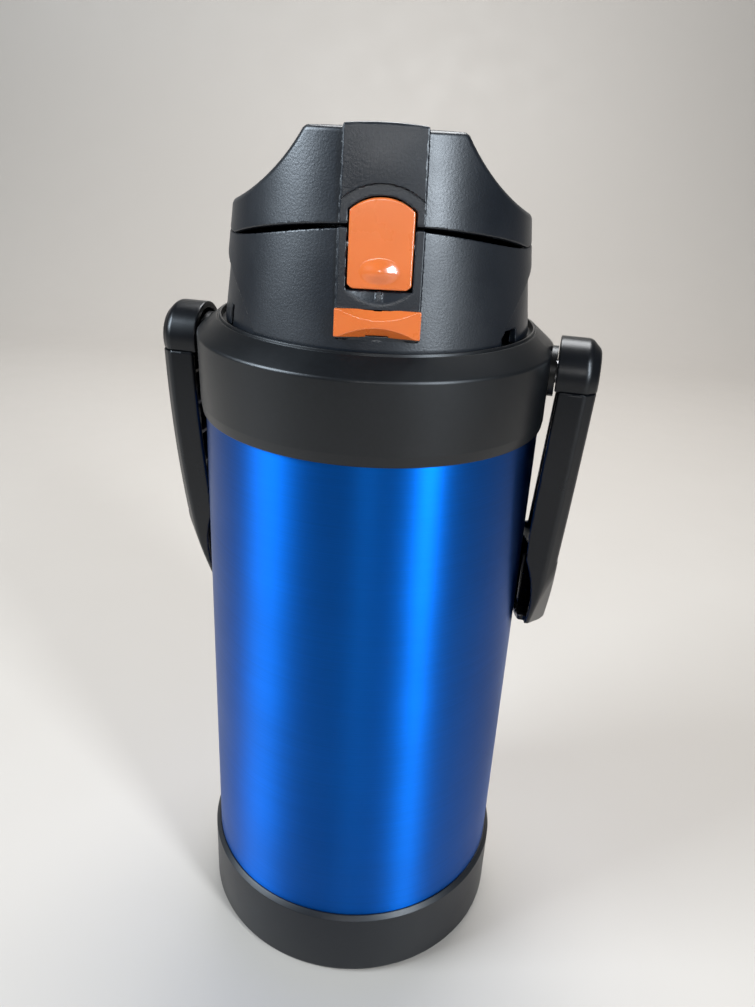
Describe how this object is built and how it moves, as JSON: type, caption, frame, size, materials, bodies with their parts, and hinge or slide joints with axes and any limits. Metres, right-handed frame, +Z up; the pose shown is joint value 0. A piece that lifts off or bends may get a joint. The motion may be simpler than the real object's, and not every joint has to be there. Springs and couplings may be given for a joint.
{
  "type": "large water jug",
  "caption": "Vacuum-insulated water jug with a screw cap, a push-button flip lid with a lock slide, and a swinging carry handle.",
  "frame": {"origin": "centre of the face the jug stands on, on the axis of its round body", "axes": "+Z up along the body's axis; -Y the side with the button; +Y the lid's hinge; +X to the right when looking at the button"},
  "size_m": [0.154, 0.135, 0.3124],
  "materials": {
    "blue_lacquer": "gloss blue lacquer over fine horizontal brushing",
    "bare_steel": "brushed bare stainless steel",
    "copper_foil": "thin reflective copper-coloured foil",
    "black_base": "satin black moulded plastic",
    "black_satin": "satin black moulded plastic",
    "black_handle": "smooth satin black moulded plastic",
    "black_textured": "black moulded plastic with a fine sparkling grain",
    "seal_rubber": "pale grey food-grade silicone",
    "insulating_foam": "light rigid insulating foam",
    "spring_steel": "bright spring wire",
    "orange_gloss": "glossy orange moulded plastic"
  },
  "bodies": {
    "vessel": {"outer_shell": "blue_lacquer", "bottom_pan": "bare_steel", "vacuum_plug": "bare_steel", "inner_flask": "bare_steel", "getter": "bare_steel", "reflective_foil": "copper_foil", "base_boot": "black_base", "collar": "black_satin", "collar_gasket": "seal_rubber", "pivot_pins": "bare_steel", "pivot_washers": "black_satin"},
    "handle": {"handle_bow": "black_handle", "handle_cap_left": "black_handle", "handle_cap_right": "black_handle"},
    "gasket_ring": {"cap_gasket": "seal_rubber"},
    "cap": {"cap_shell": "black_textured", "cap_plug": "black_satin", "plug_duct": "black_satin", "plug_foam": "insulating_foam", "spout": "black_satin", "spout_seal": "seal_rubber", "hinge_pin": "bare_steel", "lid_spring": "spring_steel", "button_pin": "bare_steel", "button_spring": "spring_steel"},
    "lid": {"lid_cover": "black_textured", "lid_liner": "black_satin", "lid_seal": "seal_rubber"},
    "button": {"button": "orange_gloss"},
    "lock": {"lock_slide": "orange_gloss"}
  },
  "joints": [
    {"name": "handle_swing", "type": "hinge", "parent": "vessel", "child": "handle", "pos_m": [0, 0, 0.239], "axis": [0.9781, -0.2079, 0], "range_deg": [0, 215]},
    {"name": "cap_lift", "type": "slide", "parent": "vessel", "child": "gasket_ring", "axis": [0, 0, 1], "range_m": [0, 0.0121]},
    {"name": "cap_turn", "type": "hinge", "parent": "gasket_ring", "child": "cap", "pos_m": [0, 0, 0.25], "axis": [0, 0, 1], "range_deg": [0, 720]},
    {"name": "lid_open", "type": "hinge", "parent": "cap", "child": "lid", "pos_m": [0, 0.0524, 0.2792], "axis": [-1, 0, 0], "range_deg": [0, 125]},
    {"name": "button_press", "type": "hinge", "parent": "cap", "child": "button", "pos_m": [0, -0.04434, 0.2809], "axis": [-1, 0, 0], "range_deg": [0, 5], "stiffness_Nm_per_rad": 0.5},
    {"name": "lock_slide_up", "type": "slide", "parent": "cap", "child": "lock", "axis": [0, 0.1149, 0.9934], "range_m": [0, 0.0045]}
  ],
  "couplings": [
    {"joint": "cap_lift", "follows": "cap_turn", "m_per_rad": 0.00095493}
  ]
}
